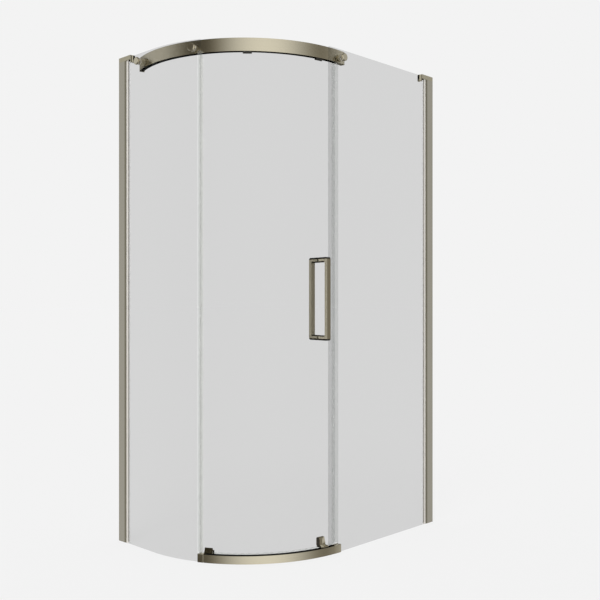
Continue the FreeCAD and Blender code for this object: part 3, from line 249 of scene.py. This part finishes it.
def cast_bronze(name, deep, light, roughness, dark_end_limit=None):
    """Zinc casting with a satin bronze coat: an even tone with a faint orange-peel ripple.
    Where dark_end_limit is given, what lies before that length along the arc is drawn darker."""
    material, tree = new_material(name)
    place = object_place(tree)
    ripple = noise(tree, place, 1 / (CAST_RIPPLE * MM))
    cloud = noise(tree, place, 1 / (CAST_CLOUD * MM), 3.0)
    rough = swing(tree, cloud, roughness - 0.03, roughness + 0.04)
    tone = blend(tree, cloud, linear(deep), linear(light))
    if dark_end_limit is not None:
        along = parts_of(tree, grain_space(tree, "arc"))[0]
        dark_end = calc(tree, "LESS_THAN", along, dark_end_limit)
        tone = blend(tree, dark_end, tone, linear(DARK_END_TONE))
    return finished(material, metal(tree, tone, rough, bump(tree, ripple, 0.1, 0.04)))


def turned_steel(name, deep, light):
    """Stainless steel turned on a lathe: pale, with fine tool marks."""
    material, tree = new_material(name)
    marks = noise(tree, object_place(tree), 1 / (TOOL_MARK * MM), 1.0)
    tone = blend(tree, marks, linear(deep), linear(light))
    return finished(material, metal(tree, tone, 0.28, bump(tree, marks, 0.15, 0.02)))


def toughened_glass(name, deep, light, alpha):
    """Clear toughened float glass: an even neutral grey where it is looked through, because each
    face holds back a seventh of the light, and no bend in what stands behind it."""
    material, tree = new_material(name)
    wave = noise(tree, object_place(tree), 1 / (ROLLER_WAVE * MM), 0.0)
    pane = add(tree, "ShaderNodeBsdfPrincipled", {
        "Base Color": blend(tree, wave, linear(deep), linear(light)), "Roughness": 0.03,
        "IOR": 1.5, "Specular IOR Level": 0.15, "Alpha": alpha}).outputs[0]
    # what the metal behind a pane mirrors comes to it unchanged
    clear = add(tree, "ShaderNodeBsdfTransparent", {"Color": (1, 1, 1, 1)}).outputs[0]
    mirrored = add(tree, "ShaderNodeLightPath").outputs["Is Glossy Ray"]
    return finished(material, blend_shaders(tree, mirrored, pane, clear))


def clear_pvc(name, deep, light):
    """Extruded clear PVC strip: nearly as light as the glass, with faint draw lines, and hardly
    bending what is behind it, because its walls are thin."""
    material, tree = new_material(name)
    lines = noise(tree, drawn_out(tree, grain_space(tree, "upright"), DRAW_RUN, DRAW))
    tone = blend(tree, lines, linear(deep), linear(light))
    return finished(material, add(tree, "ShaderNodeBsdfPrincipled", {
        "Base Color": tone, "Roughness": 0.03, "IOR": 1.01,
        "Transmission Weight": 0.96}).outputs[0])


def soft_plastic(name, deep, light, roughness, grain_mm, depth_mm, alpha=1.0, clear_lip=False):
    """A moulded or extruded polymer: two close tones, and a grain of the given size. A thin pale
    one lets some of what is behind it through, and its lip inside the glass is clearer still."""
    material, tree = new_material(name)
    place = object_place(tree)
    grain = noise(tree, place, 1 / (grain_mm * MM))
    cloud = noise(tree, place, 1 / (PLASTIC_CLOUD * MM))
    tone = blend(tree, cloud, linear(deep), linear(light))
    if clear_lip:
        x, y, _ = parts_of(tree, place)
        behind = calc(tree, "MINIMUM", calc(tree, "SUBTRACT", x, GLASS_LEFT),
                      calc(tree, "SUBTRACT", y, GLASS_FRONT))
        lip = calc(tree, "GREATER_THAN", behind, LIP_DEPTH * MM)
        alpha = add(tree, "ShaderNodeMapRange", {0: lip, 3: alpha, 4: LIP_ALPHA}).outputs[0]
    return finished(material, add(tree, "ShaderNodeBsdfPrincipled", {
        "Base Color": tone, "Roughness": roughness, "Alpha": alpha,
        "Normal": bump(tree, grain, 0.3, depth_mm)}).outputs[0])


BRONZE = ("B9B29D", "C3BCA7")
ZINC = ("B8B19C", "C2BBA6")
GLASS = ("161A18", "1E2220", 0.146)

FINISHES = [
    (brushed_bronze("brushed_bronze_anodised_channels", "upright", "A09C8F", "AAA699", 0.2),
     ["left_wall_channel", "right_wall_channel"]),
    # painted shade: the glass channels, set back behind the wall channels, take a darker copy of
    # the same bronze
    (brushed_bronze("brushed_bronze_inner_channels_painted_shade", "upright", "827E6E", "8B8777",
                    0.24),
     ["left_glass_channel", "right_glass_channel"]),
    (brushed_bronze("brushed_bronze_anodised_curved_rails", "arc", *BRONZE, 0.2),
     ["header_rail", "threshold_rail"]),
    (brushed_bronze("brushed_bronze_anodised_handle", "upright", *BRONZE, 0.2, eased_painted_edges=True),
     ["handle_outer"]),
    (brushed_bronze("brushed_bronze_anodised_inner_handle", "upright", *BRONZE, 0.42,
                    eased_painted_edges=True),
     ["handle_inner"]),
    (cast_bronze("satin_bronze_coated_zinc", *ZINC, 0.2),
     ["header_end_left", "header_end_right", "threshold_end_left", "threshold_end_right",
      "threshold_end_inner", "clamp_caps"]),
    (cast_bronze("satin_bronze_coated_caps", "A59F8A", "AFA994", 0.22),
     ["left_channel_cap", "right_channel_cap"]),
    (cast_bronze("satin_bronze_coated_guide", *ZINC, 0.2, DARK_END_LIMIT), ["guide_block"]),
    (cast_bronze("dark_bronze_coated_zinc", "5E5847", "69634F", 0.28),
     ["threshold_shoe", "guide_plate"]),
    (toughened_glass("clear_toughened_glass", *GLASS), ["left_fixed_glass", "right_fixed_glass"]),
    (toughened_glass("clear_toughened_door_glass", *GLASS), ["door_glass"]),
    (clear_pvc("clear_pvc_seal", "E7E8E7", "EBECEB"),
     ["left_edge_seal", "door_closing_seal", "door_bottom_seal"]),
    (clear_pvc("clear_pvc_thin_seal", "F7F7F6", "FBFBFA"), ["door_trailing_seal"]),
    # extruded flexible PVC, matt and a little see-through: a pale line beside each channel
    (soft_plastic("pale_grey_pvc_gasket", "E8E4DC", "F0ECE4", 0.55, 1.5, 0.03, alpha=0.75,
                  clear_lip=True),
     ["left_glazing_gasket", "right_glazing_gasket"]),
    # moulded rubber, dull, at the rail's ends; the threshold liner is a black strip laid in the
    #     # groove as painted shade of that deep channel, so the groove and the rail's ends stay
    #     black
    (soft_plastic("black_rubber_and_painted_groove_shade", "0C0C0C", "141414", 0.7, 0.8, 0.05),
     ["header_stops", "threshold_liner"]),
    # glass-filled nylon, spark-eroded mould: a fine even grain
    (soft_plastic("dark_bronze_moulded_nylon", "26231D", "302C24", 0.45, 0.6, 0.03),
     ["hanger_left_block", "hanger_right_block"]),
    # moulded nylon in the metal's colour, dull: it stays quiet between glass and rail
    (soft_plastic("bronze_coloured_nylon", "A39A80", "ADA48A", 0.5, 0.6, 0.02),
     ["clamp_spacers"]),
    # machined acetal: off-white and smooth, so that the wheels run quietly
    (soft_plastic("natural_acetal", "E4E1D8", "EEEBE3", 0.35, 1.0, 0.01),
     ["rollers_left", "rollers_right", "guide_wheel"]),
    # punched nylon sheet: a brown line between two bronze faces
    (soft_plastic("brown_nylon_washer", "6B6552", "77705B", 0.4, 1.0, 0.01),
     ["handle_washers"]),
    # soft PVC sheet, punched: a pale ring between cap and glass
    (soft_plastic("pale_pvc_washer", "D8D2C2", "E2DCCD", 0.45, 1.0, 0.01), ["clamp_washers"]),
    (turned_steel("turned_stainless_steel", "BDBBB6", "D2D0CB"),
     ["clamp_studs", "handle_studs", "left_channel_screws", "right_channel_screws",
      "guide_screws", "guide_axle", "hanger_pins", "roller_axle_left", "roller_axle_right"]),
]
for material, names in FINISHES:
    for name in names:
        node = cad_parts[name]
        if not node.material_slots:
            node.data.materials.append(material)
        for slot in node.material_slots:
            slot.material = material

# --------------------------------------------------------------------------- studio

PALE = "F3F3F3"          # floor and background
CENTRE = (-0.6, -0.4, 1.0)
FLOOR_REACH = 80.0       # metres, as all measures from here on
FLOOR_Z = -0.0005
FLOOR_GLOW = 0.88        # share of the floor's colour that no shadow dims
DRUM = 60.0              # radius and half height of the drum of cards
SIDES = 48


def stage_mesh(name, points, faces, material):
    """A floor or card of the studio, not part of the object."""
    mesh = bpy.data.meshes.new(name)
    mesh.from_pydata(points, [], faces)
    mesh.materials.append(material)
    thing = bpy.data.objects.new(name, mesh)
    bpy.context.scene.collection.objects.link(thing)
    return thing


def seen_directly(tree):
    """1 for what the camera, a mirror or a clear pane shows of the backdrop."""
    path = add(tree, "ShaderNodeLightPath").outputs
    seen = calc(tree, "MAXIMUM", path["Is Camera Ray"], path["Is Glossy Ray"])
    return calc(tree, "MAXIMUM", seen, path["Is Transmission Ray"])


# The floor shows its own colour and a faint shadow. Metal doesn't mirror it: the photograph's
# downward faces are black.
material, tree = new_material("pale_studio_floor")
share = calc(tree, "MULTIPLY", seen_directly(tree), FLOOR_GLOW)
matt = add(tree, "ShaderNodeBsdfDiffuse", {"Color": linear(PALE)}).outputs[0]
glow = add(tree, "ShaderNodeEmission", {"Color": linear(PALE), "Strength": 1.0}).outputs[0]
finished(material, blend_shaders(tree, share, matt, glow))
corners = [(x * FLOOR_REACH, y * FLOOR_REACH, FLOOR_Z)
           for x, y in ((-1, -1), (1, -1), (1, 1), (-1, 1))]
floor = stage_mesh("studio_floor", corners, [(0, 1, 2, 3)], material)
floor.visible_glossy = False

# Cards round the object that only reflections see: a broad soft box in front, a grey wall on
# either side of it with dark gaps between, a dark wall behind, and a grey lid and base. Each
# pair gives a direction, in degrees seen from above and counted from +X towards +Y, and how
# bright the card is there.
CARDS = [
    (0, 0.30), (18, 0.12), (28, 0.16), (66, 0.16), (80, 0.20), (94, 0.38), (105, 0.74),
    (115, 0.82), (134, 0.82), (142, 0.72), (148, 0.58), (154, 0.45), (159, 0.32), (165, 0.19),
    (173, 0.12), (183, 0.10), (189, 0.17), (195, 0.31), (201, 0.50), (207, 0.70), (213, 0.88),
    (220, 1.05), (228, 1.18), (237, 1.25), (246, 1.25), (254, 1.17), (262, 1.02), (270, 0.81),
    (277, 0.61), (284, 0.42), (291, 0.29), (299, 0.25), (308, 0.32), (316, 0.58), (323, 0.84),
    (334, 0.80), (346, 0.50), (360, 0.30)]
HALF = 207               # a colour ramp holds 32 stops, so the round is two ramps that meet here
WARM_BELOW = 0.6         # cards darker than this are a little warm
WARMTH = (0.12, 0.01, -0.2)
LID = (0.28, 0.275, 0.26, 1)
LID_FROM = 0.5           # lid and base come in between these sines of the angle to the horizon
LID_FULL = 0.75


def card_colour(level):
    """The colour of a card that is this bright."""
    warm = max(0.0, 1 - level / WARM_BELOW)
    return (*(level * (1 + amount * warm) for amount in WARMTH), 1)


material, tree = new_material("studio_cards")
way = calc_vector(tree, "NORMALIZE", object_place(tree))
east, north, up = parts_of(tree, way)
turns = calc(tree, "DIVIDE", calc(tree, "ARCTAN2", north, east), 2 * math.pi)
around = calc(tree, "FLOORED_MODULO", turns, 1.0)
halves = []
for first, last in ((0, HALF), (HALF, 360)):
    stops = [(degrees, level) for degrees, level in CARDS if first <= degrees <= last]
    ramp = add(tree, "ShaderNodeValToRGB", {0: around})
    while len(ramp.color_ramp.elements) < len(stops):
        ramp.color_ramp.elements.new(0.5)
    for stop, (degrees, level) in zip(ramp.color_ramp.elements, stops):
        stop.position = degrees / 360
        stop.color = card_colour(level)
    halves.append(ramp.outputs[0])
ring = blend(tree, calc(tree, "GREATER_THAN", around, HALF / 360), *halves)
lid = add(tree, "ShaderNodeMapRange", {
    0: calc(tree, "ABSOLUTE", up), 1: LID_FROM, 2: LID_FULL}).outputs[0]
finished(material, add(tree, "ShaderNodeEmission", {
    "Color": blend(tree, lid, ring, LID), "Strength": 1.0}).outputs[0])

angles = [2 * math.pi * i / SIDES for i in range(SIDES)]
points = [(DRUM * math.cos(angle), DRUM * math.sin(angle), height)
          for height in (-DRUM, DRUM) for angle in angles]
faces = [(i, (i + 1) % SIDES, SIDES + (i + 1) % SIDES, SIDES + i) for i in range(SIDES)]
faces += [tuple(range(SIDES)), tuple(range(SIDES, 2 * SIDES))]
drum = stage_mesh("studio_cards", points, faces, material)
drum.location = CENTRE
for sight in ("visible_camera", "visible_diffuse", "visible_transmission",
              "visible_volume_scatter", "visible_shadow"):
    setattr(drum, sight, False)

# The world gives two thirds of the light from all round, and the pale background.
AMBIENT = 0.65
world = bpy.data.worlds.new("studio_room")
bpy.context.scene.world = world
world.use_nodes = True
tree = world.node_tree
tree.nodes.clear()
light = add(tree, "ShaderNodeBackground", {"Color": (1, 1, 1, 1), "Strength": AMBIENT}).outputs[0]
pale = add(tree, "ShaderNodeBackground", {"Color": linear(PALE), "Strength": 1.0}).outputs[0]
sky = blend_shaders(tree, seen_directly(tree), light, pale)
add(tree, "ShaderNodeOutputWorld", {"Surface": sky})

# The key light is a wide soft source, high on the camera's left. With the world it lights a
# level surface so that its colour renders as written.
KEY_TILT = math.radians(42)
KEY_HEADING = math.radians(-62)
KEY_SPREAD = math.radians(30)
key = bpy.data.lights.new("key_light", "SUN")
key.angle = KEY_SPREAD
key.energy = (1 - AMBIENT) * math.pi / math.cos(KEY_TILT)
lamp = bpy.data.objects.new("key_light", key)
bpy.context.scene.collection.objects.link(lamp)
lamp.rotation_euler = (KEY_TILT, 0, KEY_HEADING)
lamp.visible_glossy = False

# --------------------------------------------------------------------------- camera

# The camera stands level in front of the curve, at the height of the door's handle.
lens = bpy.data.cameras.new("camera")
lens.lens = 50
lens.sensor_width = 36
lens.clip_end = 300
camera = bpy.data.objects.new("camera", lens)
bpy.context.scene.collection.objects.link(camera)
camera.location = (-3.1992, -3.0330, 1.0264)
camera.rotation_euler = (math.radians(90), 0, math.radians(-45.876))
bpy.context.scene.camera = camera
bpy.context.scene.view_settings.view_transform = "Standard"
